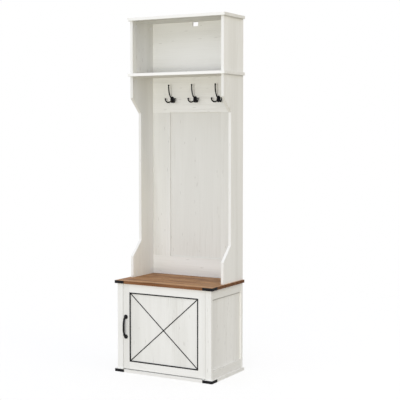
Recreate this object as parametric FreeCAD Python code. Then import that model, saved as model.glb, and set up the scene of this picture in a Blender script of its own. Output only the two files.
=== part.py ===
"""Hall tree: a bench cabinet with one door, a waisted hutch with three triple hooks and a shelf.

Millimetres. X runs across, Y from the front (-Y) to the wall (+Y), Z up.
The origin is on the floor, under the middle of the base board.
"""
import FreeCAD, Part
from FreeCAD import Vector
import math
import os

# Overall
hall_width = 580.0
hall_depth = 350.0
hall_height = 1850.0
board = 15.0
seat_height = 480.0
overhang = 10.0

# Cabinet frame
post_width = 33.0
post_thick = 15.0
side_rail_thick = 15.0
side_rail_inset = 2.0
side_top_rail_height = 47.0
side_bottom_rail_height = 45.0
side_panel_thick = 5.0
side_panel_inset = 10.0
groove_depth = 6.0
cabinet_back_thick = 3.0
cabinet_back_lap = 15.0

# Inner shelf
shelf_level = 245.0
cleat_height = 30.0
cleat_thick = 15.0
inner_shelf_front_gap = 6.0
inner_shelf_side_gap = 1.5

# Door
door_side_gap = 1.2
door_top_gap = 1.2
door_bottom_gap = 3.5
door_thick = 15.0
door_stile_width = 40.0
door_top_rail_height = 43.0
door_bottom_rail_height = 39.0
door_panel_thick = 6.0
door_panel_recess = 3.0
door_groove_depth = 7.0
strip_width = 6.0
strip_thick = 4.0
cross_width = 5.0
cross_thick = 1.5
pivot_from_edge = 12.0
pivot_from_front = 4.5
pivot_radius = 2.0
pivot_clearance = 0.05
pivot_pin_seat = 9.0
pivot_pin_reach = 13.0
bush_radius = 3.2
bush_length = 16.0
bush_collar_radius = 4.2
bush_collar_play = 0.4

# Handle
handle_centres = 104.0
handle_rise = 28.0
handle_shoulder = 16.0
handle_from_edge = 17.5
handle_radius = 4.2
handle_crown_radius = 5.6
handle_foot_radius = 11.5
handle_foot_thick = 3.0
handle_neck_radius = 5.5
handle_drop = 225.0
handle_screw_radius = 2.0
handle_screw_head_radius = 4.0
handle_screw_head_height = 2.5
handle_screw_bite = 8.0

# Magnetic catch
catch_length = 46.0
catch_depth = 15.0
catch_height = 13.0
strike_from_stile = 8.0
strike_drop = 2.0
strike_length = 40.0
strike_height = 14.0
strike_thick = 1.0

# Corner brackets
bracket_leg = 55.0
bracket_thick = 1.0
nail_head_radius = 3.0
nail_head_height = 1.4
nail_shank_radius = 1.0
nail_length = 10.0
nail_from_corner = 14.0
nail_from_end = 9.0

# Hutch
hutch_inset = 10.0
hutch_depth = 212.0
waist_depth = 133.0
waist_slope_low = 592.0
waist_slope_high = 1431.0
shelf_bottom = 1545.0
shelf_overhang = 12.0

# Hutch back
back_thick = 12.0
hook_rail_height = 188.0
back_stile_width = 109.0
back_bottom_rail_height = 100.0
back_panel_thick = 5.0
back_panel_recess = 6.0
notch_width = 35.0
notch_height = 23.0
notch_corner = 3.0

# Hooks
hook_spacing = 142.0
hook_level = 1426.0
hook_plate_width = 22.0
hook_plate_height = 34.0
hook_plate_thick = 4.0
hook_rod_radius = 3.4
hook_tip_radius = 4.6
upper_tip_rise = 76.0
upper_tip_reach = 38.0
lower_tip_spread = 30.0
lower_tip_reach = 23.0
lower_dip = 18.0
hook_screw_radius = 1.6
hook_screw_head_radius = 3.0
hook_screw_head_height = 1.1
hook_screw_length = 9.0
hook_screw_offset = 12.5

# Fasteners
fit = 0.05
dowel_radius = 4.0
dowel_half = 14.0
dowel_end_seat = 9.0
thin_dowel_radius = 3.0
thin_dowel_half = 12.0
cam_radius = 7.5
cam_depth = 10.5
cam_from_end = 24.0
cam_bolt_radius = 3.0
cam_bolt_bite = 9.0
cam_cover_radius = 7.8
cam_cover_thick = 0.6
screw_radius = 2.5
screw_length = 45.0
screw_head_radius = 4.8
screw_head_height = 3.0
tack_radius = 0.8
tack_length = 11.0
tack_head_radius = 2.2
tack_head_height = 0.7
tack_pitch = 110.0

# Planes and levels that several pieces share
half_width = hall_width / 2
board_front = -hall_depth / 2
rear = hall_depth / 2
cab_half = half_width - overhang
cab_front = board_front + overhang
cab_low = board
cab_high = seat_height - board
post_inner = cab_half - post_width
post_back = cab_front + post_thick
rear_post_front = rear - post_thick
side_rail_outer = cab_half - side_rail_inset
side_rail_inner = side_rail_outer - side_rail_thick
side_panel_outer = cab_half - side_panel_inset
side_panel_inner = side_panel_outer - side_panel_thick
door_half = post_inner - door_side_gap
door_low = cab_low + door_bottom_gap
door_high = cab_high - door_top_gap
door_back = cab_front + door_thick
door_panel_front = cab_front + door_panel_recess
pivot_x = door_half - pivot_from_edge
pivot_y = cab_front + pivot_from_front
handle_x = -(door_half - handle_from_edge)
handle_z = door_high - handle_drop
hutch_half = half_width - hutch_inset
hutch_inner = hutch_half - board
hutch_front = rear - hutch_depth
waist_front = rear - waist_depth
shelf_front = hutch_front - shelf_overhang
shelf_top = shelf_bottom + board
top_board_bottom = hall_height - board
back_front = rear - back_thick
hook_rail_bottom = shelf_bottom - hook_rail_height
back_bottom_rail_top = seat_height + back_bottom_rail_height
back_centre_half = hutch_inner - back_stile_width
back_mid = rear - back_thick / 2
corner_signs = (-1, 1)


def block(x0, x1, y0, y1, z0, z1):
    """A box between two corners, given in any order."""
    low = Vector(min(x0, x1), min(y0, y1), min(z0, z1))
    return Part.makeBox(abs(x1 - x0), abs(y1 - y0), abs(z1 - z0), low)


def rod(start, along, radius, length):
    return Part.makeCylinder(radius, length, start, along)


def opposite(way):
    return Vector(-way.x, -way.y, -way.z)


def mirrored(shape):
    """The same piece on the other side of the X = 0 plane."""
    return shape.mirror(Vector(0, 0, 0), Vector(1, 0, 0))


def cut(shape, tools):
    return shape.cut(list(tools)) if tools else shape


def holes(pins, clearance=fit):
    """The holes that a list of (start, along, radius, length) pins needs."""
    return [rod(start, along, radius + clearance, length) for start, along, radius, length in pins]


def pins_to_solids(pins):
    return [rod(start, along, radius, length) for start, along, radius, length in pins]


def mirror_pins(pins):
    """The pins with their copies on the left."""
    copies = []
    for start, along, radius, length in pins:
        left_start = Vector(-start.x, start.y, start.z)
        left_along = Vector(-along.x, along.y, along.z)
        copies.append((left_start, left_along, radius, length))
    return pins + copies


def eased(shape, radius, picks):
    """Round over the edges that a test picks."""
    return shape.makeFillet(radius, [edge for edge in shape.Edges if picks(edge)])


def is_vertical(edge):
    tangent = edge.tangentAt(edge.FirstParameter)
    return abs(tangent.z) > 0.999


# ---------------------------------------------------------------- fastener layouts
along_x = Vector(1, 0, 0)
along_y = Vector(0, 1, 0)
along_z = Vector(0, 0, 1)


def side_frame_dowels():
    """Dowels between the side rails or cleats and the posts, right side."""
    x_rail = (side_rail_outer + side_rail_inner) / 2
    levels = (
        cab_low + side_bottom_rail_height * 0.27,
        cab_low + side_bottom_rail_height * 0.67,
        cab_high - side_top_rail_height * 0.49,
        cab_high - side_top_rail_height * 0.75,
    )
    spots = [(x_rail, level) for level in levels]
    spots.append((side_panel_inner - cleat_thick / 2, shelf_level - cleat_height / 2))
    pins = []
    for x, z in spots:
        pins.append((Vector(x, post_back - dowel_end_seat, z), along_y, dowel_radius, 2 * dowel_half))
        rear_start = rear_post_front + dowel_end_seat - 2 * dowel_half
        pins.append((Vector(x, rear_start, z), along_y, dowel_radius, 2 * dowel_half))
    return pins


def post_dowels():
    """Dowels from the post tops into the bench top, right side."""
    x = cab_half - post_width / 4
    start_z = cab_high + dowel_end_seat - 2 * dowel_half
    spots = (cab_front + post_thick / 2, rear - post_thick / 2)
    return [(Vector(x, y, start_z), along_z, dowel_radius, 2 * dowel_half) for y in spots]


def hutch_joint_ends():
    """Each end of the hutch side panels: face level, direction into the panel, depth offset."""
    return (
        (seat_height, 1, 0.0),
        (shelf_bottom, -1, 0.0),
        (shelf_top, 1, cam_radius * 2 + 3.0),
        (top_board_bottom, -1, 0.0),
    )


def hutch_panel_spots(offset):
    """Front cam, middle dowel and rear cam depths along a hutch side panel."""
    front_cam = hutch_front + 34.0 + offset
    rear_cam = back_front - 20.0 - offset
    return front_cam, (front_cam + rear_cam) / 2, rear_cam


def hutch_dowels():
    """Dowels at both ends of the hutch side panels, right side."""
    x = hutch_half - board / 2
    pins = []
    for level, direction, offset in hutch_joint_ends():
        middle = hutch_panel_spots(offset)[1] + offset
        low = level - dowel_end_seat if direction > 0 else level + dowel_end_seat - 2 * dowel_half
        pins.append((Vector(x, middle, low), along_z, dowel_radius, 2 * dowel_half))
    return pins


def back_frame_dowels():
    """Thin dowels from the hutch sides into the back boards, and up and down the back stiles, right."""
    pins = []
    levels = (
        seat_height + back_bottom_rail_height * 0.25,
        seat_height + back_bottom_rail_height * 0.75,
        hook_rail_bottom + hook_rail_height * 0.2,
        hook_rail_bottom + hook_rail_height * 0.8,
        shelf_top + (top_board_bottom - shelf_top) * 0.2,
        shelf_top + (top_board_bottom - shelf_top) * 0.8,
        (back_bottom_rail_top + hook_rail_bottom) / 2,
    )
    for level in levels:
        start = Vector(hutch_inner - thin_dowel_half, back_mid, level)
        pins.append((start, along_x, thin_dowel_radius, 2 * thin_dowel_half - 2.0))
    for level in (back_bottom_rail_top, hook_rail_bottom):
        for share in (0.3, 0.75):
            x = back_centre_half + back_stile_width * share
            start = Vector(x, back_mid, level - thin_dowel_half)
            pins.append((start, along_z, thin_dowel_radius, 2 * thin_dowel_half))
    return pins


def door_dowels():
    """Dowels between the door's stiles and rails, right side."""
    inner = door_half - door_stile_width
    y = cab_front + door_thick / 2
    levels = (
        door_low + door_bottom_rail_height * 0.25,
        door_low + door_bottom_rail_height * 0.6,
        door_high - door_top_rail_height * 0.25,
        door_high - door_top_rail_height * 0.6,
    )
    start_x = inner - thin_dowel_half
    return [(Vector(start_x, y, z), along_x, thin_dowel_radius, 2 * thin_dowel_half) for z in levels]


def cams():
    """Cam positions, right side: bolt foot on the board's face, way into the piece, lock face."""
    x = post_inner + cam_cover_radius + fit
    found = [
        (Vector(x, cab_front + post_thick / 2, cab_high), -1, Vector(0, 1, 0), post_back),
        (Vector(x, rear - post_thick / 2, cab_high), -1, Vector(0, -1, 0), rear_post_front),
    ]
    for level, direction, offset in hutch_joint_ends():
        front_cam, middle, rear_cam = hutch_panel_spots(offset)
        for y in (front_cam, rear_cam):
            foot = Vector(hutch_half - board / 2, y, level)
            found.append((foot, direction, Vector(-1, 0, 0), hutch_inner))
    return found


def cam_lock_face(foot, direction, outward, face):
    """Middle of a cam lock's outer face."""
    centre = Vector(foot.x, foot.y, foot.z + direction * cam_from_end)
    if outward.x:
        centre.x = face
    else:
        centre.y = face
    return centre


def cam_bolt(foot, direction):
    length = cam_bolt_bite + cam_from_end
    start = Vector(foot.x, foot.y, foot.z - direction * cam_bolt_bite)
    return start, Vector(0, 0, direction), cam_bolt_radius, length


def cam_bolt_pins():
    return mirror_pins([cam_bolt(foot, direction) for foot, direction, outward, face in cams()])


def cam_lock_pins():
    pins = []
    for foot, direction, outward, face in cams():
        centre = cam_lock_face(foot, direction, outward, face)
        pins.append((centre, opposite(outward), cam_radius, cam_depth))
    return mirror_pins(pins)


def cam_cover_pins():
    pins = []
    for foot, direction, outward, face in cams():
        centre = cam_lock_face(foot, direction, outward, face)
        pins.append((centre, outward, cam_cover_radius, cam_cover_thick))
    return mirror_pins(pins)


def base_screw_spots():
    x = cab_half - post_width / 2
    depths = (cab_front + post_thick / 2, rear - post_thick / 2)
    return [(sign * x, y) for sign in corner_signs for y in depths]


def base_screws():
    """Countersunk screws from under the base board into the posts."""
    solids = []
    for x, y in base_screw_spots():
        head = Part.makeCone(screw_head_radius, screw_radius, screw_head_height, Vector(x, y, 0), along_z)
        shank = rod(Vector(x, y, 0), along_z, screw_radius, screw_length)
        solids.append(head.fuse(shank).removeSplitter())
    return solids


def base_screw_holes():
    tools = []
    for x, y in base_screw_spots():
        wide = screw_head_radius + fit
        narrow = screw_radius + fit
        tools.append(Part.makeCone(wide, narrow, screw_head_height, Vector(x, y, 0), along_z))
        tools.append(rod(Vector(x, y, 0), along_z, narrow, screw_length))
    return tools


# ---------------------------------------------------------------- cabinet
def base_board():
    body = block(-half_width, half_width, board_front, rear, 0, board)
    tools = base_screw_holes() + holes(bracket_nail_pins(0)) + [pivot_pin_hole(cab_low, -1)]
    return cut(body, tools)


def bench_top():
    body = block(-half_width, half_width, board_front, rear, cab_high, seat_height)
    tools = holes(mirror_pins(post_dowels() + hutch_dowels())) + holes(cam_bolt_pins())
    tools += holes(bracket_nail_pins(cab_high)) + [pivot_pin_hole(cab_high, 1)]
    return cut(body, tools)


def post(front):
    """A post on the right; the front ones carry the door opening."""
    y0 = cab_front if front else rear_post_front
    body = block(post_inner, cab_half, y0, y0 + post_thick, cab_low, cab_high)
    groove = side_panel_block()
    tools = [groove] + holes(side_frame_dowels() + post_dowels())
    tools += holes(cam_bolt_pins() + cam_lock_pins()) + base_screw_holes()
    if not front:
        tools.append(cabinet_back())
        tools += holes(cabinet_back_tacks())
    return cut(body, tools)


def side_panel_block():
    return block(
        side_panel_inner, side_panel_outer,
        post_back - groove_depth, rear_post_front + groove_depth,
        cab_low + side_bottom_rail_height - groove_depth, cab_high - side_top_rail_height + groove_depth,
    )


def side_rail(low, high):
    body = block(side_rail_inner, side_rail_outer, post_back, rear_post_front, low, high)
    return cut(body, [side_panel_block()] + holes(side_frame_dowels()))


def shelf_cleat():
    body = block(
        side_panel_inner - cleat_thick, side_panel_inner, post_back, rear_post_front,
        shelf_level - cleat_height, shelf_level,
    )
    return cut(body, holes(side_frame_dowels()))


def inner_shelf():
    half = side_panel_inner - inner_shelf_side_gap
    front = door_back + inner_shelf_front_gap
    body = block(-half, half, front, rear - cabinet_back_thick, shelf_level, shelf_level + board)
    for sign in corner_signs:
        around_post = block(
            sign * (post_inner - 1.0), sign * (half + 1.0), rear_post_front - 1.0, rear,
            shelf_level - 1.0, shelf_level + board + 1.0,
        )
        body = body.cut(around_post)
    return body


def cabinet_back():
    half = post_inner + cabinet_back_lap
    return block(-half, half, rear - cabinet_back_thick, rear, cab_low, cab_high)


def cabinet_back_tacks():
    """Tack shanks along the cabinet back's upright edges."""
    x = post_inner + cabinet_back_lap * 0.35
    count = int((cab_high - cab_low - tack_pitch / 2) // tack_pitch) + 1
    first = (cab_high + cab_low - (count - 1) * tack_pitch) / 2 - cam_radius
    pins = []
    for number in range(count):
        start = Vector(x, rear, first + number * tack_pitch)
        pins.append((start, Vector(0, -1, 0), tack_radius, tack_length))
    return mirror_pins(pins)


def back_tack_solids():
    """Round headed tacks, their heads sunk flush with the cabinet back."""
    solids = []
    for start, along, radius, length in cabinet_back_tacks():
        head = rod(start, along, tack_head_radius, tack_head_height)
        solids.append(head.fuse(rod(start, along, radius, length)).removeSplitter())
    return solids


def cabinet_back_piece():
    tools = holes(cabinet_back_tacks())
    for start, along, radius, length in cabinet_back_tacks():
        tools.append(rod(start, along, tack_head_radius + fit, tack_head_height))
    return cut(cabinet_back(), tools)


# ---------------------------------------------------------------- door
def door_opening_block():
    """The door panel, let into grooves all round."""
    half = door_half - door_stile_width + door_groove_depth
    return block(
        -half, half, door_panel_front, door_panel_front + door_panel_thick,
        door_low + door_bottom_rail_height - door_groove_depth,
        door_high - door_top_rail_height + door_groove_depth,
    )


def door_stile():
    """The right stile, with the bores for the pivot bushes."""
    inner = door_half - door_stile_width
    body = block(inner, door_half, cab_front, door_back, door_low, door_high)
    edge_round = 1.5
    body = eased(body, edge_round, lambda edge: is_vertical(edge) and edge.CenterOfMass.x > inner + 1)
    return cut(body, [door_opening_block()] + holes(door_dowels()))


def door_right_stile():
    return cut(door_stile(), bush_blanks(fit))


def door_left_stile():
    return cut(mirrored(door_stile()), handle_screw_holes())


def door_rail(low, high):
    half = door_half - door_stile_width
    body = block(-half, half, cab_front, door_back, low, high)
    return cut(body, [door_opening_block(), strike_plate()] + holes(mirror_pins(door_dowels())))


def door_frame_strips():
    """Four mitred strips round the door panel."""
    half = door_half - door_stile_width
    low = door_low + door_bottom_rail_height
    high = door_high - door_top_rail_height
    y0 = door_panel_front - strip_thick

    def corners(inset):
        left, right = -half + inset, half - inset
        bottom, top = low + inset, high - inset
        return [Vector(x, y0, z) for x, z in ((left, bottom), (right, bottom), (right, top), (left, top))]

    outer = corners(0.0)
    inner = corners(strip_width)
    strips = []
    for number in range(4):
        after = (number + 1) % 4
        outline = [outer[number], outer[after], inner[after], inner[number], outer[number]]
        face = Part.Face(Part.makePolygon(outline))
        strips.append(face.extrude(Vector(0, strip_thick, 0)))
    return strips


def door_cross_strips():
    """Two flat strips from corner to corner of the panel, welded where they cross."""
    half = door_half - door_stile_width - strip_width
    low = door_low + door_bottom_rail_height + strip_width
    high = door_high - door_top_rail_height - strip_width
    y0 = door_panel_front - cross_thick
    middle = Vector(0, y0, (low + high) / 2)
    span = math.hypot(2 * half, high - low) + 4 * cross_width
    lean = math.degrees(math.atan2(high - low, 2 * half))
    window = block(-half, half, y0 - 1, y0 + cross_thick + 1, low, high)
    bars = []
    for sign in corner_signs:
        low_edge = middle.z - cross_width / 2
        bar = block(-span / 2, span / 2, y0, y0 + cross_thick, low_edge, low_edge + cross_width)
        bar.rotate(middle, along_y, sign * lean)
        bars.append(bar.common(window))
    return bars[0].fuse(bars[1]).removeSplitter()


def pivot_pin_hole(face, direction):
    """The blind hole that holds a pivot pin, in the board beyond the door's end."""
    start = Vector(pivot_x, pivot_y, face)
    return rod(start, Vector(0, 0, direction), pivot_radius + fit, pivot_pin_seat)


def pivot_pins():
    """Fixed pins, one up from the base board and one down from the bench top."""
    length = pivot_pin_seat + pivot_pin_reach
    foot_start = Vector(pivot_x, pivot_y, cab_low - pivot_pin_seat)
    head_start = Vector(pivot_x, pivot_y, cab_high + pivot_pin_seat)
    foot = rod(foot_start, along_z, pivot_radius, length + door_bottom_gap)
    head = rod(head_start, Vector(0, 0, -1), pivot_radius, length + door_top_gap)
    return [foot, head]


def bush_blanks(clearance=0.0):
    """Sleeves with a collar that stands a little out of the door's end."""
    blanks = []
    for face, direction in ((door_low, 1), (door_high, -1)):
        into = Vector(0, 0, direction)
        sleeve = rod(Vector(pivot_x, pivot_y, face), into, bush_radius + clearance, bush_length)
        blanks.append(sleeve)
    return blanks


def pivot_bushes():
    bushes = []
    ends = ((door_low, door_bottom_gap, 1), (door_high, door_top_gap, -1))
    for blank, (face, gap, direction) in zip(bush_blanks(), ends):
        collar_thick = gap - bush_collar_play
        collar_start = Vector(pivot_x, pivot_y, face - direction * collar_thick)
        collar = rod(collar_start, Vector(0, 0, direction), bush_collar_radius, collar_thick)
        bore_radius = pivot_radius + pivot_clearance
        bore_length = collar_thick + pivot_pin_reach + 1.0
        bore = rod(collar_start, Vector(0, 0, direction), bore_radius, bore_length)
        bushes.append(blank.fuse(collar).removeSplitter().cut(bore))
    return bushes


def handle_feet():
    return [handle_z - handle_centres / 2, handle_z + handle_centres / 2]


def door_handle():
    """An arched pull: round feet, short necks and one bent bar."""
    low, high = handle_feet()
    front = cab_front - handle_foot_thick
    crown = cab_front - handle_rise + handle_crown_radius
    rise = front - crown

    def at(share, level):
        return Vector(handle_x, front - rise * share, level)

    points = [
        at(-0.05, low), at(0.28, low + handle_shoulder * 0.1), at(0.78, low + handle_shoulder),
        at(1.0, handle_z), at(0.78, high - handle_shoulder), at(0.28, high - handle_shoulder * 0.1),
        at(-0.05, high),
    ]
    curve = Part.BSplineCurve()
    curve.interpolate(points)
    path = Part.Wire([curve.toShape()])
    rings = []
    radii = (handle_radius, handle_crown_radius, handle_radius)
    for point, radius in zip((points[0], points[3], points[6]), radii):
        direction = curve.tangent(curve.parameter(point))[0]
        rings.append(Part.Wire([Part.makeCircle(radius, point, direction)]))
    body = path.makePipeShell(rings, True, True)
    for level in (low, high):
        base = Vector(handle_x, cab_front, level)
        foot = rod(base, Vector(0, -1, 0), handle_foot_radius, handle_foot_thick)
        rim = [edge for edge in foot.Edges if abs(edge.CenterOfMass.y - front) < 0.01 and edge.Length > 1]
        foot = foot.makeFillet(1.2, rim)
        neck = Part.makeCone(handle_neck_radius + 1.5, handle_radius, 5.0,
                             Vector(handle_x, front, level), Vector(0, -1, 0))
        body = body.fuse([foot, neck])
    body = body.removeSplitter()
    return cut(body, handle_screw_holes())


def handle_screw_pins():
    length = door_thick + handle_screw_bite
    starts = [Vector(handle_x, door_back, level) for level in handle_feet()]
    return [(start, Vector(0, -1, 0), handle_screw_radius, length) for start in starts]


def handle_screw_holes():
    return holes(handle_screw_pins())


def handle_screws():
    """Pan head screws from inside the door into the handle's feet."""
    solids = []
    for start, along, radius, length in handle_screw_pins():
        shank = rod(start, along, radius, length - 0.3)
        head = rod(start, opposite(along), handle_screw_head_radius, handle_screw_head_height)
        solids.append(shank.fuse(head).removeSplitter())
    return solids


def strike_plate():
    """A steel plate let in flush on the back of the top rail, in line with the catch."""
    x0 = -(door_half - door_stile_width) + strike_from_stile
    z0 = door_high - strike_drop - strike_height
    return block(x0, x0 + strike_length, door_back - strike_thick, door_back, z0, z0 + strike_height)


def magnetic_catch():
    """The catch under the bench top, its face against the strike plate."""
    plate = strike_plate().BoundBox
    x_mid = (plate.XMin + plate.XMax) / 2
    return block(
        x_mid - catch_length / 2, x_mid + catch_length / 2, door_back, door_back + catch_depth,
        cab_high - catch_height, cab_high,
    )


# ---------------------------------------------------------------- corner brackets
def corner_bracket(low):
    """A folded strip round a right front corner, as tall as the board."""
    outer = block(
        half_width - bracket_leg, half_width + bracket_thick,
        board_front - bracket_thick, board_front + bracket_leg, low, low + board,
    )
    board_body = block(0, half_width, board_front, rear, low - 1, low + board + 1)
    body = outer.cut(board_body)
    tools = holes(bracket_nail_pins(low))
    return cut(body, tools)


def bracket_nail_spots(low):
    """Nail points on the bracket's outer faces and the way each nail goes in, right side."""
    z = low + board / 2
    outside = half_width + bracket_thick
    front = board_front - bracket_thick
    spots = []
    for reach in (nail_from_corner, bracket_leg - nail_from_end):
        spots.append((Vector(half_width - reach, front, z), Vector(0, 1, 0)))
        spots.append((Vector(outside, board_front + reach, z), Vector(-1, 0, 0)))
    return spots


def bracket_nail_pins(low):
    pins = [(spot, way, nail_shank_radius, nail_length) for spot, way in bracket_nail_spots(low)]
    return mirror_pins(pins)


def bracket_nails():
    """Dome headed nails in all four brackets."""
    solids = []
    for low in (0, cab_high):
        for spot, way, radius, length in bracket_nail_pins(low):
            ball_radius = (nail_head_radius ** 2 + nail_head_height ** 2) / (2 * nail_head_height)
            out = opposite(way)
            centre = spot.add(Vector(way).multiply(ball_radius - nail_head_height))
            ball = Part.makeSphere(ball_radius, centre)
            keep = rod(spot, out, nail_head_radius + 1.0, nail_head_height + 1.0)
            head = ball.common(keep)
            solids.append(head.fuse(rod(spot, way, radius, length)).removeSplitter())
    return solids


# ---------------------------------------------------------------- hutch
def hutch_lower_side():
    """The waisted side panel, right side."""
    step = waist_front - hutch_front
    outline = [
        (hutch_front, seat_height), (hutch_front, waist_slope_low), (waist_front, waist_slope_low + step),
        (waist_front, waist_slope_high - step), (hutch_front, waist_slope_high), (hutch_front, shelf_bottom),
        (rear, shelf_bottom), (rear, seat_height),
    ]
    points = [Vector(hutch_inner, y, z) for y, z in outline]
    face = Part.Face(Part.makePolygon(points + [points[0]]))
    return hutch_side_holes(face.extrude(Vector(board, 0, 0)))


def hutch_upper_side():
    body = block(hutch_inner, hutch_half, hutch_front, rear, shelf_top, top_board_bottom)
    return hutch_side_holes(body)


def hutch_side_holes(body):
    tools = holes(hutch_dowels() + back_frame_dowels())
    tools += holes(cam_bolt_pins() + cam_lock_pins())
    return cut(body, tools)


def shelf_board():
    body = block(-half_width, half_width, shelf_front, rear, shelf_bottom, shelf_top)
    return cut(body, holes(mirror_pins(hutch_dowels())) + holes(cam_bolt_pins()))


def top_board():
    body = block(-half_width, half_width, shelf_front, rear, top_board_bottom, hall_height)
    return cut(body, holes(mirror_pins(hutch_dowels())) + holes(cam_bolt_pins()))


def back_centre_blank():
    half = back_centre_half + groove_depth
    y0 = back_front + back_panel_recess
    return block(
        -half, half, y0, y0 + back_panel_thick,
        back_bottom_rail_top - groove_depth, hook_rail_bottom + groove_depth,
    )


def back_board(x0, x1, z0, z1, extra=()):
    body = block(x0, x1, back_front, rear, z0, z1)
    tools = [back_centre_blank()] + holes(mirror_pins(back_frame_dowels())) + list(extra)
    return cut(body, tools)


def hook_places():
    return (-hook_spacing, 0.0, hook_spacing)


def hook_rail():
    extra = []
    for x in hook_places():
        extra += holes(hook_screw_pins(x))
    return back_board(-hutch_inner, hutch_inner, hook_rail_bottom, shelf_bottom, extra)


def upper_back_panel():
    notch = block(
        -notch_width / 2, notch_width / 2, back_front - 1, rear + 1,
        top_board_bottom - notch_height, top_board_bottom + 1,
    )
    notch = eased(notch, notch_corner, lambda edge: abs(edge.tangentAt(0).y) > 0.99
                  and edge.CenterOfMass.z < top_board_bottom)
    return back_board(-hutch_inner, hutch_inner, shelf_top, top_board_bottom, [notch])


# ---------------------------------------------------------------- hooks
def hook_screw_pins(x):
    """Screw shanks above and below the prongs' root."""
    face = back_front - hook_plate_thick
    length = hook_plate_thick + hook_screw_length
    levels = (hook_level - hook_screw_offset, hook_level + hook_screw_offset)
    return [(Vector(x, face, z), Vector(0, 1, 0), hook_screw_radius, length) for z in levels]


def prong(points, radius, tip_radius):
    """A round bar along a smooth curve, with a ball on its free end."""
    curve = Part.BSplineCurve()
    curve.interpolate(points)
    path = Part.Wire([curve.toShape()])
    direction = curve.tangent(curve.FirstParameter)[0]
    circle = Part.Wire([Part.makeCircle(radius, points[0], direction)])
    bar = path.makePipeShell([circle], True, False)
    ball = Part.makeSphere(tip_radius, points[-1])
    return bar.fuse(ball)


def hook_plate(x):
    """A rounded upright plate on the hook rail."""
    straight = hook_plate_height - hook_plate_width
    upper = Vector(x, back_front, hook_level + straight / 2)
    lower = Vector(x, back_front, hook_level - straight / 2)
    out = Vector(0, -1, 0)
    radius = hook_plate_width / 2
    body = rod(upper, out, radius, hook_plate_thick)
    body = body.fuse(rod(lower, out, radius, hook_plate_thick))
    middle = block(x - radius, x + radius, back_front - hook_plate_thick, back_front, lower.z, upper.z)
    body = body.fuse(middle).removeSplitter()
    front = back_front - hook_plate_thick
    rim = [edge for edge in body.Edges if abs(edge.CenterOfMass.y - front) < 0.01]
    return body.makeFillet(1.2, rim)


def hook(x):
    """Base plate, one upper prong and two lower prongs."""
    root = back_front - hook_plate_thick

    def at(dx, out, dz):
        return Vector(x + dx, root - out, hook_level + dz)

    reach = upper_tip_reach - hook_plate_thick
    rise = upper_tip_rise
    upper = [
        at(0, -1.0, 3.0), at(0, reach * 0.32, rise * 0.13), at(0, reach * 0.72, rise * 0.34),
        at(0, reach * 0.97, rise * 0.66), at(0, reach, rise),
    ]
    body = hook_plate(x).fuse(prong(upper, hook_rod_radius, hook_tip_radius))
    low_reach = lower_tip_reach - hook_plate_thick
    for sign in corner_signs:
        spread = sign * lower_tip_spread
        lower = [
            at(0, -1.0, -3.0), at(spread * 0.3, low_reach * 0.3, -lower_dip * 0.62),
            at(spread * 0.62, low_reach * 0.6, -lower_dip + hook_rod_radius),
            at(spread * 0.9, low_reach * 0.92, -lower_dip * 0.46), at(spread, low_reach, 4.0),
        ]
        body = body.fuse(prong(lower, hook_rod_radius, hook_tip_radius))
    return cut(body.removeSplitter(), holes(hook_screw_pins(x)))


def hook_screws():
    """Dome headed screws, two in each hook."""
    solids = []
    for x in hook_places():
        for start, along, radius, length in hook_screw_pins(x):
            shank = rod(start, along, radius, length - 0.3)
            head = rod(start, Vector(0, -1, 0), hook_screw_head_radius, hook_screw_head_height)
            crown = start.y - hook_screw_head_height
            rim = [edge for edge in head.Edges if abs(edge.CenterOfMass.y - crown) < 0.01]
            head = head.makeFillet(hook_screw_head_height * 0.6, rim)
            solids.append(shank.fuse(head).removeSplitter())
    return solids


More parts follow.
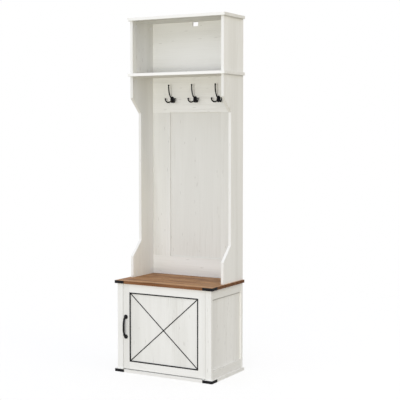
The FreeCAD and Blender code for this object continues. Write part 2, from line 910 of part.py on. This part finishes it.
# ---------------------------------------------------------------- every node
def build():
    low_rail_top = cab_low + side_bottom_rail_height
    high_rail_bottom = cab_high - side_top_rail_height
    right = {
        "front_post": post(True),
        "back_post": post(False),
        "side_bottom_rail": side_rail(cab_low, low_rail_top),
        "side_top_rail": side_rail(high_rail_bottom, cab_high),
        "side_panel": side_panel_block(),
        "shelf_cleat": shelf_cleat(),
        "hutch_lower_side": hutch_lower_side(),
        "hutch_upper_side": hutch_upper_side(),
        "back_stile": back_board(back_centre_half, hutch_inner, back_bottom_rail_top, hook_rail_bottom),
        "bench_bracket": corner_bracket(cab_high),
        "base_bracket": corner_bracket(0),
    }
    nodes = {
        "base_board": base_board(),
        "bench_top": bench_top(),
        "inner_shelf": inner_shelf(),
        "cabinet_back_panel": cabinet_back_piece(),
        "cabinet_back_tacks": back_tack_solids(),
        "door_left_stile": door_left_stile(),
        "door_right_stile": door_right_stile(),
        "door_bottom_rail": door_rail(door_low, door_low + door_bottom_rail_height),
        "door_top_rail": door_rail(door_high - door_top_rail_height, door_high),
        "door_panel": door_opening_block(),
        "door_dowels": pins_to_solids(mirror_pins(door_dowels())),
        "door_frame_strips": door_frame_strips(),
        "door_cross_strips": door_cross_strips(),
        "door_handle": door_handle(),
        "handle_screws": handle_screws(),
        "pivot_pins": pivot_pins(),
        "pivot_bushes": pivot_bushes(),
        "magnetic_catch": magnetic_catch(),
        "strike_plate": strike_plate(),
        "bracket_nails": bracket_nails(),
        "shelf_board": shelf_board(),
        "top_board": top_board(),
        "upper_back_panel": upper_back_panel(),
        "hook_rail": hook_rail(),
        "back_bottom_rail": back_board(-hutch_inner, hutch_inner, seat_height, back_bottom_rail_top),
        "back_centre_panel": back_centre_blank(),
        "hook_screws": hook_screws(),
        "cabinet_dowels": pins_to_solids(mirror_pins(side_frame_dowels() + post_dowels())),
        "hutch_dowels": pins_to_solids(mirror_pins(hutch_dowels())),
        "back_dowels": pins_to_solids(mirror_pins(back_frame_dowels())),
        "cam_bolts": pins_to_solids(cam_bolt_pins()),
        "cam_covers": pins_to_solids(cam_cover_pins()),
        "base_screws": base_screws(),
    }
    locks = pins_to_solids(cam_lock_pins())
    nodes["cam_locks"] = [lock.cut(holes(cam_bolt_pins())) for lock in locks]
    for name, shape in right.items():
        nodes["right_" + name] = shape
        nodes["left_" + name] = mirrored(shape)
    for name, x in zip(("left", "middle", "right"), hook_places()):
        nodes["hook_" + name] = hook(x)
    return nodes


def main():
    os.makedirs("parts", exist_ok=True)
    nodes = build()
    for name, shape in nodes.items():
        if isinstance(shape, list):
            shape = Part.makeCompound(shape)
        if not shape.isValid() or not shape.Solids:
            raise ValueError(name + " is not a valid solid")
        shape.exportStep("parts/" + name + ".step")
    print("nodes written:", len(nodes))


main()
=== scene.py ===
import bpy
import bmesh
import math
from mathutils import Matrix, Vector


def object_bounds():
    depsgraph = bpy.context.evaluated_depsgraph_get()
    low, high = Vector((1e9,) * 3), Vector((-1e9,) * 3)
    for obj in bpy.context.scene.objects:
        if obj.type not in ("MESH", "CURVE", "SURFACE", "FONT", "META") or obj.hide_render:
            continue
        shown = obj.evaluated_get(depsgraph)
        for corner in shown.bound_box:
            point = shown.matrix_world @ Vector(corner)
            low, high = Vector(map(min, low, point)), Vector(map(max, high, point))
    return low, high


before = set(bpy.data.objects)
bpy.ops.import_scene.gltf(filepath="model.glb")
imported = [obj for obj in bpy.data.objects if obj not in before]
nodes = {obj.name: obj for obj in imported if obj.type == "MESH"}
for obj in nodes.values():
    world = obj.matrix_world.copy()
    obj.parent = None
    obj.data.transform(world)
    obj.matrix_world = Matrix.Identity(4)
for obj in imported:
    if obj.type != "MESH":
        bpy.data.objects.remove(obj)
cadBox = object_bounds()
print("frame loaded:", len(nodes), "nodes")

mixSockets = {"share": 0, "first": 6, "second": 7, "result": 2}  # the colour sockets of a Mix node


# shader maths: a wrapped socket that can be used in sums
class Wire:
    def __init__(self, finish, socket):
        self.finish = finish
        self.socket = socket

    def beside(self, name):
        return Wire(self.finish, self.socket.node.outputs[name])

    def part(self, letter):
        return self.finish.node("SeparateXYZ", {}, {"Vector": self}, letter)

    def reshaped(self, operation):
        return self.finish.node("Math", {"operation": operation}, {0: self})

    def combined(self, operation, left, right):
        return self.finish.node("Math", {"operation": operation}, {0: left, 1: right})

    def __add__(self, other):
        return self.combined("ADD", self, other)

    def __sub__(self, other):
        return self.combined("SUBTRACT", self, other)

    def __rsub__(self, other):
        return self.combined("SUBTRACT", other, self)

    def __mul__(self, other):
        return self.combined("MULTIPLY", self, other)

    def __truediv__(self, other):
        return self.combined("DIVIDE", self, other)


# one material: a Principled shader and the nodes that feed it
class Finish:
    def __init__(self, name, settings):
        self.material = bpy.data.materials.new(name)
        self.material.use_nodes = True
        self.tree = self.material.node_tree
        self.shader = self.tree.nodes["Principled BSDF"]
        for key, value in settings.items():
            self.shader.inputs[key].default_value = value
        self.place = self.node("TexCoord", {}, {}, "Object")

    def plug(self, value, socket):
        if isinstance(value, Wire):
            self.tree.links.new(value.socket, socket)
        else:
            socket.default_value = value

    def node(self, kind, settings, values, output=0):
        made = self.tree.nodes.new("ShaderNode" + kind)
        for key, value in settings.items():
            setattr(made, key, value)
        for key, value in values.items():
            self.plug(value, made.inputs[key])
        return Wire(self, made.outputs[output])

    def stretched(self, place, scale, shift=(0, 0, 0)):
        return self.node("Mapping", {}, {"Vector": place, "Scale": scale, "Location": shift})

    def noise(self, vector, detail, roughness, scale=1.0, distortion=0.0):
        values = {
            "Vector": vector, "Scale": scale,
            "Detail": detail, "Roughness": roughness, "Distortion": distortion,
        }
        return self.node("TexNoise", {}, values)

    # the distance to the nearest cell's centre, and a random value for that cell
    def cells(self, vector, scale):
        near = self.node("TexVoronoi", {"feature": "F1"}, {"Vector": vector, "Scale": scale})
        return near, self.node("SeparateColor", {}, {"Color": near.beside("Color")})

    def ranged(self, value, low, high, most=1.0):
        values = {"Value": value, "From Min": low, "From Max": high, "To Max": most}
        return self.node("MapRange", {"interpolation_type": "SMOOTHSTEP"}, values)

    def mix(self, share, first, second):
        values = {mixSockets["share"]: share, mixSockets["first"]: first, mixSockets["second"]: second}
        return self.node("Mix", {"data_type": "RGBA"}, values, mixSockets["result"])

    def finishWith(self, colour, roughness=None, height=None, depth=0.0):
        self.plug(colour, self.shader.inputs["Base Color"])
        if roughness is not None:
            self.plug(roughness, self.shader.inputs["Roughness"])
        if height is not None:
            values = {"Height": height, "Distance": depth, "Strength": 1.0}
            self.plug(self.node("Bump", {}, values), self.shader.inputs["Normal"])
        return self.material


# the patterns of one board: the grain runs along one axis, and the two other axes are squeezed
class Grain:
    def __init__(self, finish, look, axis, place, shift=(0, 0, 0)):
        self.finish = finish
        self.look = look
        self.axis = axis
        self.place = place
        self.shift = shift

    def stretched(self, along, across):
        scale = [across, across, across]
        scale["XYZ".index(self.axis)] = along
        return self.finish.stretched(self.place, tuple(scale), self.shift)

    def noise(self, pattern, warp=0.0):
        along, across, detail, roughness = self.look["noises"][pattern]
        return self.finish.noise(self.stretched(along, across), detail, roughness, 1.0, warp)

    def cells(self, pattern):
        return self.finish.cells(self.stretched(*self.look["cells"][pattern]), self.look["cellScale"])

    def shown(self, pattern, value):
        return self.finish.ranged(value, *self.look["shows"][pattern])

    # rings come from waves that follow the flow of the grain and turn round the knots
    def rings(self, flow, broad, swirl):
        waves = self.look["waves"]
        total = flow * waves["flow"] + broad * waves["broad"] + swirl * waves["swirl"]
        return self.shown("rings", (total * waves["count"]).reshaped("SINE"))


def rgb(red, green, blue):
    return (red, green, blue, 1.0)


def darker(colour, share):
    return rgb(*(channel * share for channel in colour[:3]))


# noises: along the grain, across it, detail, roughness; cells: along, across
# shows: the value where a pattern begins and the one where it is full
whiteWoodLook = {
    "paint": rgb(0.800, 0.790, 0.742),
    "greyed": rgb(0.690, 0.678, 0.624),
    "streak": rgb(0.51, 0.485, 0.42),
    "mark": rgb(0.24, 0.215, 0.175),
    # banding: the edge band's white, brightened as painted light on the front edges
    "bandingAndLight": rgb(0.90, 0.893, 0.845),
    # corner: the colour of the painted shadow under a side panel's top rail
    "corner": rgb(0.13, 0.115, 0.075),
    "specular": 0.35,
    "roughness": 0.50,
    "roughGrain": 0.10,
    "boardTone": 0.55,
    "ringShare": 0.13,
    "streakShare": 0.20,
    "poreShare": 0.22,
    "markShare": 0.62,
    "heartShare": 0.6,
    "railShadowShare": 0.92,
    "railShadowDepth": 0.010,
    "patchy": {"rings": 0.8, "streaks": 0.65, "pores": 0.7},
    "shift": (3.7, 5.3, 2.9),
    "noises": {
        "broad": (0.9, 10.0, 2.0, 0.5),
        "flow": (2.0, 30.0, 4.0, 0.6),
        "streaks": (4.0, 150.0, 5.0, 0.62),
        "pores": (38.0, 1100.0, 2.0, 0.5),
        "patches": (2.6, 8.0, 2.0, 0.5),
    },
    "cells": {"knots": (2.3, 9.0), "dashes": (2.3, 34.0)},
    "cellScale": 5.0,
    "shows": {
        "knots": (0.74, 0.78),
        "swirl": (0.32, 0.0),
        "heart": (0.11, 0.03),
        "rings": (0.25, 1.0),
        "streaks": (0.45, 0.72),
        "pores": (0.60, 0.74),
        "patches": (0.45, 0.70),
        "dashes": (0.19, 0.06),
        "dashCells": (0.78, 0.82),
        "tone": (0.36, 0.66),
        "front": (-0.4, -0.68),
    },
    "waves": {"flow": 9.0, "broad": 7.0, "swirl": 5.0, "count": 3.0},
    "flowWarp": 0.6,
    "dashFray": 0.05,
    "depths": {"streaks": 0.35, "pores": 0.45, "rings": 0.25, "marks": 0.8, "whole": 0.0002},
}


def whiteWood(name, axis, seed, bandingAndLight, greyer, railAbove):
    look = whiteWoodLook
    finish = Finish(name, {"Specular IOR Level": look["specular"]})
    grain = Grain(finish, look, axis, finish.place, tuple(seed * step for step in look["shift"]))
    # a few small knots, which the grain flows round
    near, cell = grain.cells("knots")
    hasKnot = grain.shown("knots", cell)
    swirl = grain.shown("swirl", near) * hasKnot
    heart = grain.shown("heart", near) * hasKnot
    broad = grain.noise("broad")
    rings = grain.rings(grain.noise("flow", look["flowWarp"]), broad, swirl)
    streaks = grain.shown("streaks", grain.noise("streaks"))
    pores = grain.shown("pores", grain.noise("pores"))
    patches = grain.shown("patches", grain.noise("patches"))
    # short dark checks that lie along the grain
    dash, dashCell = grain.cells("dashes")
    marks = grain.shown("dashes", dash + streaks * look["dashFray"]) * grain.shown("dashCells", dashCell)
    marks = (marks + heart * look["heartShare"]) * look["markShare"]
    # greyer adds painted shade to a board, and painted light where it is negative
    greyness = grain.shown("tone", broad) * look["boardTone"] + greyer
    colour = finish.mix(greyness, look["paint"], look["greyed"])
    for pattern, share, patchy in (
        (rings, look["ringShare"], look["patchy"]["rings"]),
        (streaks, look["streakShare"], look["patchy"]["streaks"]),
        (pores, look["poreShare"], look["patchy"]["pores"]),
    ):
        colour = finish.mix(pattern * (patches * patchy + (1.0 - patchy)) * share, colour, look["streak"])
    colour = finish.mix(marks, colour, look["mark"])
    # the front edge of a banded board is plain and whiter: partly real edge banding, partly a painted
    # highlight that is stronger on the higher boards
    if bandingAndLight:
        front = grain.shown("front", finish.place.beside("Normal").part("Y"))
        colour = finish.mix(front * bandingAndLight, colour, look["bandingAndLight"])
    # painted shadow: a sunk panel is darkened close under its rail, where the rail's shadow falls
    if railAbove:
        under = min(vertex.co.z for vertex in nodes[railAbove].data.vertices)
        corner = finish.ranged(finish.place.part("Z"), under - look["railShadowDepth"], under)
        colour = finish.mix(corner * look["railShadowShare"], colour, look["corner"])
    rough = streaks * look["roughGrain"] + pores * look["roughGrain"] + look["roughness"]
    depths = look["depths"]
    sunk = streaks * depths["streaks"] + pores * depths["pores"] + rings * patches * depths["rings"]
    return finish.finishWith(colour, rough, 1.0 - (sunk + marks * depths["marks"]), depths["whole"])


brownWoodLook = {
    "dark": rgb(0.080, 0.031, 0.012),
    "mid": rgb(0.310, 0.134, 0.050),
    "light": rgb(0.62, 0.345, 0.155),
    "worn": rgb(0.57, 0.39, 0.235),
    "edge": rgb(0.146, 0.050, 0.016),
    "end": rgb(0.054, 0.014, 0.001),
    "specular": 0.18,
    "roughness": 0.58,
    "roughStreaks": 0.16,
    "roughWorn": 0.08,
    "stripWidth": 0.0875,
    "stripSeed": 7.3,
    "stripLean": (3.0, 2.0, 0.37),
    "tone": {"broad": 0.85, "strip": 0.15},
    "shares": {"bands": 0.62, "rings": 0.32, "worn": 0.45, "streaks": 0.46, "heart": 0.75, "seam": 0.35},
    "edgeShare": 0.62,
    "endShare": 0.50,
    "noises": {
        "broad": (2.2, 20.0, 3.0, 0.55),
        "flow": (2.4, 34.0, 4.0, 0.6),
        "bands": (3.4, 52.0, 3.0, 0.6),
        "streaks": (7.0, 300.0, 5.0, 0.65),
        "worn": (5.5, 40.0, 4.0, 0.6),
    },
    "cells": {"knots": (3.1, 13.0)},
    "cellScale": 5.0,
    "shows": {
        "seam": (0.488, 0.499),
        "knots": (0.72, 0.76),
        "swirl": (0.40, 0.0),
        "heart": (0.13, 0.03),
        "rings": (-0.4, 1.0),
        "bands": (0.46, 0.66),
        "streaks": (0.42, 0.72),
        "worn": (0.50, 0.68),
        "tone": (0.32, 0.66),
        "edge": (0.6, 0.3),
        "end": (0.6, 0.9),
    },
    "waves": {"flow": 8.0, "broad": 8.0, "swirl": 6.0, "count": 3.2},
    "flowWarp": 0.5,
    "depths": {"streaks": 0.5, "rings": 0.2, "seam": 0.4, "whole": 0.00025},
}


def brownWood(name, axis):
    look = brownWoodLook
    finish = Finish(name, {"Specular IOR Level": look["specular"]})
    # glued strips, each with its own tone and its own piece of the grain
    across = finish.place.part("Y") / look["stripWidth"]
    strip = across.reshaped("FLOOR")
    tone = finish.node("TexWhiteNoise", {"noise_dimensions": "1D"}, {"W": strip + look["stripSeed"]})
    leanX, leanY, leanZ = look["stripLean"]
    lean = finish.node("CombineXYZ", {}, {"X": tone * leanX, "Y": tone * leanY, "Z": strip * leanZ})
    field = finish.node("VectorMath", {"operation": "ADD"}, {0: finish.place, 1: lean})
    grain = Grain(finish, look, axis, field)
    seam = grain.shown("seam", (across.reshaped("FRACT") - 0.5).reshaped("ABSOLUTE"))
    near, cell = grain.cells("knots")
    hasKnot = grain.shown("knots", cell)
    swirl = grain.shown("swirl", near) * hasKnot
    heart = grain.shown("heart", near) * hasKnot
    broad = grain.noise("broad")
    rings = grain.rings(grain.noise("flow", look["flowWarp"]), broad, swirl)
    bands = grain.shown("bands", grain.noise("bands"))
    streaks = grain.shown("streaks", grain.noise("streaks"))
    worn = grain.shown("worn", grain.noise("worn"))
    lightness = grain.shown("tone", broad) * look["tone"]["broad"] + tone * look["tone"]["strip"]
    colour = finish.mix(lightness, look["mid"], look["light"])
    shares = look["shares"]
    for pattern, share, shade in (
        (bands, shares["bands"], "dark"),
        (rings, shares["rings"], "dark"),
        (worn, shares["worn"], "worn"),
        (streaks, shares["streaks"], "dark"),
        (heart, shares["heart"], "dark"),
        (seam, shares["seam"], "dark"),
    ):
        colour = finish.mix(pattern * share, colour, look[shade])
    # the front and side edges are banded in a darker, redder brown, and the ends are the darkest
    outward = finish.place.beside("Normal")
    edge = grain.shown("edge", outward.part("Z").reshaped("ABSOLUTE"))
    end = grain.shown("end", outward.part("X").reshaped("ABSOLUTE"))
    colour = finish.mix(edge * look["edgeShare"], colour, look["edge"])
    colour = finish.mix(end * look["endShare"], colour, look["end"])
    rough = streaks * look["roughStreaks"] + worn * look["roughWorn"] + look["roughness"]
    depths = look["depths"]
    sunk = streaks * depths["streaks"] + rings * depths["rings"] + seam * depths["seam"]
    return finish.finishWith(colour, rough, 1.0 - sunk, depths["whole"])


# a plain noise is given as detail, roughness, scale
blackMetalLook = {
    "coat": rgb(0.006, 0.006, 0.007),
    "rubbed": rgb(0.016, 0.015, 0.014),
    "specular": 0.2,
    "roughness": 0.48,
    "roughCloud": 0.14,
    "roughPeel": 0.10,
    "cloud": (4.0, 0.6, 55.0),
    "peel": (3.0, 0.55),
    "cloudShows": (0.45, 0.75),
    "cloudShare": 0.7,
}


def blackMetal(name, grit, depth):
    look = blackMetalLook
    finish = Finish(name, {"Specular IOR Level": look["specular"]})
    cloud = finish.ranged(finish.noise(finish.place, *look["cloud"]), *look["cloudShows"])
    peel = finish.noise(finish.place, *look["peel"], grit)
    colour = finish.mix(cloud * look["cloudShare"], look["coat"], look["rubbed"])
    rough = cloud * look["roughCloud"] + peel * look["roughPeel"] + look["roughness"]
    return finish.finishWith(colour, rough, peel, depth)


steelLook = {
    "darkCell": 0.72,
    "cellShare": 0.35,
    "roughCell": 0.10,
    "roughScratch": 0.12,
    "scratch": (3.0, 0.6),
    "scratchScale": (900, 900, 60),
    "scratchDepth": 0.00004,
}


def steel(name, colour, roughness, spangle):
    look = steelLook
    finish = Finish(name, {"Metallic": 1.0})
    cell = finish.cells(finish.place, spangle)[1]
    scratch = finish.noise(finish.stretched(finish.place, look["scratchScale"]), *look["scratch"])
    shade = finish.mix(cell * look["cellShare"], colour, darker(colour, look["darkCell"]))
    rough = cell * look["roughCell"] + scratch * look["roughScratch"] + roughness
    return finish.finishWith(shade, rough, scratch, look["scratchDepth"])


beechLook = {
    "pale": rgb(0.60, 0.42, 0.25),
    "deep": rgb(0.50, 0.33, 0.18),
    "fleck": rgb(0.30, 0.18, 0.09),
    "fleckShare": 0.5,
    "roughness": 0.55,
    "roughFleck": 0.1,
    "noises": {"flecks": (180.0, 1500.0, 2.0, 0.5), "tone": (20.0, 220.0, 3.0, 0.5)},
    "shows": {"flecks": (0.56, 0.70)},
    "depths": {"flecks": 0.4, "whole": 0.0001},
}


def beech(name, axis):
    look = beechLook
    finish = Finish(name, {})
    grain = Grain(finish, look, axis, finish.place)
    flecks = grain.shown("flecks", grain.noise("flecks"))
    tone = grain.noise("tone")
    colour = finish.mix(tone, look["pale"], look["deep"])
    colour = finish.mix(flecks * look["fleckShare"], colour, look["fleck"])
    rough = flecks * look["roughFleck"] + look["roughness"]
    return finish.finishWith(colour, rough, tone - flecks * look["depths"]["flecks"], look["depths"]["whole"])


plasticLook = {
    "darkMottle": 0.86,
    "mottleShare": 0.35,
    "mottle": (3.0, 0.5, 90.0),
    "roughMottle": 0.10,
    "texture": (2.0, 0.5, 1800.0),
    "textureDepth": 0.00003,
}


def plastic(name, colour, roughness):
    look = plasticLook
    finish = Finish(name, {})
    mottle = finish.noise(finish.place, *look["mottle"])
    texture = finish.noise(finish.place, *look["texture"])
    shade = finish.mix(mottle * look["mottleShare"], colour, darker(colour, look["darkMottle"]))
    return finish.finishWith(shade, mottle * look["roughMottle"] + roughness, texture, look["textureDepth"])


hardboardLook = {
    "raw": rgb(0.40, 0.27, 0.16),
    "rawDeep": rgb(0.27, 0.17, 0.095),
    "front": rgb(0.78, 0.775, 0.755),
    "frontDeep": rgb(0.70, 0.69, 0.66),
    "rawShows": (0.4, 0.6),
    "roughness": 0.5,
    "roughRaw": 0.25,
    "fibre": (5.0, 0.7, 420.0),
    "cloud": (3.0, 0.55, 14.0),
    "fibreShare": 0.6,
    "cloudShare": 0.4,
    "fibreDepth": 0.00008,
}


# painted on its front and bare behind
def hardboard(name):
    look = hardboardLook
    finish = Finish(name, {})
    raw = finish.ranged(finish.place.beside("Normal").part("Y"), *look["rawShows"])
    fibre = finish.noise(finish.place, *look["fibre"])
    cloud = finish.noise(finish.place, *look["cloud"])
    brown = finish.mix(fibre * look["fibreShare"] + cloud * look["cloudShare"], look["raw"], look["rawDeep"])
    white = finish.mix(cloud * look["cloudShare"], look["front"], look["frontDeep"])
    rough = raw * look["roughRaw"] + look["roughness"]
    return finish.finishWith(finish.mix(raw, white, brown), rough, fibre, look["fibreDepth"])


def dress(name, material):
    slots = nodes[name].data.materials
    slots.clear()
    slots.append(material)


def bothSides(*names):
    return [side + name for side in ("left_", "right_") for name in names]


# which way the grain runs on every white board
grainRuns = {
    "X": [
        "base_board", "shelf_board", "top_board", "inner_shelf", "upper_back_panel", "hook_rail",
        "back_bottom_rail", "door_bottom_rail", "door_top_rail",
    ],
    "Y": bothSides("side_bottom_rail", "side_top_rail", "shelf_cleat"),
    "Z": bothSides(
        "front_post", "back_post", "side_panel", "hutch_lower_side", "hutch_upper_side", "back_stile",
    ) + ["back_centre_panel", "door_panel", "door_left_stile", "door_right_stile"],
}

# how white the front edge is, as edge banding with painted light that grows towards the top, and which boards
# are a shade greyer or whiter
bandingAndLightOf = {
    "shelf_board": 0.85,
    "top_board": 0.85,
    "left_hutch_upper_side": 0.45,
    "right_hutch_upper_side": 0.45,
    "left_hutch_lower_side": 0.12,
    "right_hutch_lower_side": 0.12,
}
# the greyer boards carry painted shade where they lie in shade, and the whiter ones, such as the hook rail
# under the shelf, carry painted light
shadeAndLightOfBoards = {
    "top_board": 0.45,
    "upper_back_panel": 0.10,
    "hook_rail": -0.30,
    "back_centre_panel": 0.78,
    "left_back_stile": 0.34,
    "right_back_stile": 0.34,
    "back_bottom_rail": 0.3,
    "left_hutch_lower_side": -0.12,
    "door_panel": 0.20,
    "door_right_stile": 0.15,
    "left_front_post": -0.30,
    "left_side_bottom_rail": 0.45,
    "right_side_bottom_rail": 0.45,
}
# the side panels that get a painted shadow under their top rail
railsAbove = {"left_side_panel": "left_side_top_rail", "right_side_panel": "right_side_top_rail"}

seed = 1
for axis, names in grainRuns.items():
    for name in names:
        bandingAndLight, greyer = bandingAndLightOf.get(name, 0.0), shadeAndLightOfBoards.get(name, 0.0)
        dress(name, whiteWood("white_wood_" + name, axis, seed, bandingAndLight, greyer, railsAbove.get(name)))
        seed += 1
dress("bench_top", brownWood("brown_wood", "X"))
satinBlack = blackMetal("black_powder_coat", grit=1300.0, depth=0.00006)
castBlack = blackMetal("black_casting", grit=520.0, depth=0.00018)
for name in (
    "door_frame_strips", "door_cross_strips", "bracket_nails", "left_bench_bracket", "right_bench_bracket",
    "left_base_bracket", "right_base_bracket", "door_handle",
):
    dress(name, satinBlack)
for name in ("hook_left", "hook_middle", "hook_right", "hook_screws"):
    dress(name, castBlack)
zinc = steel("zinc_plate", rgb(0.62, 0.62, 0.59), roughness=0.30, spangle=700.0)
pinSteel = steel("pin_steel", rgb(0.55, 0.55, 0.55), roughness=0.22, spangle=1500.0)
for name in ("cam_bolts", "cam_locks", "base_screws", "handle_screws", "cabinet_back_tacks", "strike_plate"):
    dress(name, zinc)
dress("pivot_pins", pinSteel)
dowelRuns = {"cabinet_dowels": "Y", "hutch_dowels": "Z", "back_dowels": "Z", "door_dowels": "X"}
for name, axis in dowelRuns.items():
    dress(name, beech("beech_" + name, axis))
dress("cam_covers", plastic("white_cover", rgb(0.78, 0.775, 0.755), roughness=0.45))
dress("pivot_bushes", plastic("nylon", rgb(0.72, 0.71, 0.66), roughness=0.40))
dress("magnetic_catch", plastic("grey_catch", rgb(0.30, 0.30, 0.30), roughness=0.45))
dress("cabinet_back_panel", hardboard("hardboard"))
print("materials given")


# the corners of boards and strips are softened by a fraction of a millimetre
easing = {"board": 0.0004, "metal": 0.0004, "sharpest": 35.0, "segments": 2, "weld": 0.00001}


def easeEdges(name, width):
    piece = nodes[name]
    mesh = piece.data
    if "custom_normal" in mesh.attributes:
        mesh.attributes.remove(mesh.attributes["custom_normal"])
    mesh.polygons.foreach_set("use_smooth", [False] * len(mesh.polygons))
    weld = piece.modifiers.new("weld", "WELD")
    weld.merge_threshold = easing["weld"]
    bevel = piece.modifiers.new("ease", "BEVEL")
    bevel.width = width
    bevel.segments = easing["segments"]
    bevel.limit_method = "ANGLE"
    bevel.angle_limit = math.radians(easing["sharpest"])
    bevel.use_clamp_overlap = True


for names in grainRuns.values():
    for name in names:
        easeEdges(name, easing["board"])
easeEdges("bench_top", easing["board"])
for name in ("door_frame_strips", "door_cross_strips"):
    easeEdges(name, easing["metal"])
print("edges eased")


# the camera stands to the right of the front, at chest height
cameraSet = {
    "place": (2.703, -4.522, 1.2467),
    "turn": 29.716,
    "dip": 3.325,
    "lens": 91.2,
    "sensor": 36,
    "shiftY": -0.02,
}


def makeCamera():
    data = bpy.data.cameras.new("camera")
    camera = bpy.data.objects.new("camera", data)
    bpy.context.scene.collection.objects.link(camera)
    camera.location = cameraSet["place"]
    camera.rotation_euler = (math.radians(90 - cameraSet["dip"]), 0, math.radians(cameraSet["turn"]))
    data.lens = cameraSet["lens"]
    data.sensor_width = cameraSet["sensor"]
    data.shift_y = cameraSet["shiftY"]
    bpy.context.scene.camera = camera


# a faint floor, which fades out away from the hall tree
floorSet = {
    "size": 60.0,
    "colour": rgb(1.0, 0.98, 0.92),
    "roughness": 0.8,
    "specular": 0.1,
    "clouded": rgb(0.8, 0.8, 0.8),
    "cloud": (2.0, 0.5, 0.6),
    "cloudShare": 0.03,
    "fade": (3.2, 1.0),
    "cover": 0.20,
}


def makeFloor():
    built = bmesh.new()
    bmesh.ops.create_grid(built, x_segments=1, y_segments=1, size=floorSet["size"] / 2)
    mesh = bpy.data.meshes.new("floor")
    built.to_mesh(mesh)
    built.free()
    floor = bpy.data.objects.new("floor", mesh)
    bpy.context.scene.collection.objects.link(floor)
    finish = Finish("floor", {"Roughness": floorSet["roughness"], "Specular IOR Level": floorSet["specular"]})
    cloud = finish.noise(finish.place, *floorSet["cloud"])
    away = finish.node("VectorMath", {"operation": "LENGTH"}, {0: finish.place}, "Value")
    finish.plug(finish.ranged(away, *floorSet["fade"], floorSet["cover"]), finish.shader.inputs["Alpha"])
    colour = finish.mix(cloud * floorSet["cloudShare"], floorSet["colour"], floorSet["clouded"])
    floor.data.materials.append(finish.finishWith(colour))
    floor.visible_diffuse = False


# a large softbox in front on the right, and a small warm one high on the right
softboxes = {
    "front": {"place": (2.2, -10.0, 0.4), "size": 2.8, "power": 404.0, "colour": (0.986, 1.0, 0.986)},
    "side": {"place": (4.4, -0.4, 4.0), "size": 1.4, "power": 38.0, "colour": (1.0, 0.86, 0.40)},
}


def makeLights():
    aim = Vector((0, 0, (cadBox[0].z + cadBox[1].z) / 2))
    for name, box in softboxes.items():
        data = bpy.data.lights.new(name, "AREA")
        data.size = box["size"]
        data.energy = box["power"]
        data.color = box["colour"]
        light = bpy.data.objects.new(name, data)
        bpy.context.scene.collection.objects.link(light)
        light.location = box["place"]
        light.rotation_euler = (aim - Vector(box["place"])).to_track_quat("-Z", "Y").to_euler()


# the backdrop looks white, while the room's light is cool from above, and weaker and warmer from below
skySet = {
    "above": rgb(0.945, 0.98, 1.12),
    "below": rgb(0.44, 0.41, 0.34),
    "seen": rgb(1.0, 1.0, 1.0),
    "horizon": 0.15,
}


def makeSky():
    world = bpy.data.worlds.new("studio")
    world.use_nodes = True
    bpy.context.scene.world = world
    tree = world.node_tree
    tree.nodes.clear()

    def add(kind):
        return tree.nodes.new("ShaderNode" + kind)

    coords, split, ramp, blend = add("TexCoord"), add("SeparateXYZ"), add("MapRange"), add("Mix")
    rays, either, lit, seen = add("LightPath"), add("MixShader"), add("Background"), add("Background")
    surface = add("OutputWorld")
    ramp.inputs["From Min"].default_value = -skySet["horizon"]
    ramp.inputs["From Max"].default_value = skySet["horizon"]
    blend.data_type = "RGBA"
    blend.inputs[mixSockets["first"]].default_value = skySet["below"]
    blend.inputs[mixSockets["second"]].default_value = skySet["above"]
    seen.inputs["Color"].default_value = skySet["seen"]
    for start, end in (
        (coords.outputs["Generated"], split.inputs[0]),
        (split.outputs["Z"], ramp.inputs["Value"]),
        (ramp.outputs[0], blend.inputs[mixSockets["share"]]),
        (blend.outputs[mixSockets["result"]], lit.inputs["Color"]),
        (rays.outputs["Is Camera Ray"], either.inputs[0]),
        (lit.outputs[0], either.inputs[1]),
        (seen.outputs[0], either.inputs[2]),
        (either.outputs[0], surface.inputs["Surface"]),
    ):
        tree.links.new(start, end)


makeCamera()
makeFloor()
makeLights()
makeSky()
bpy.context.scene.view_settings.view_transform = "Standard"
print("studio made")
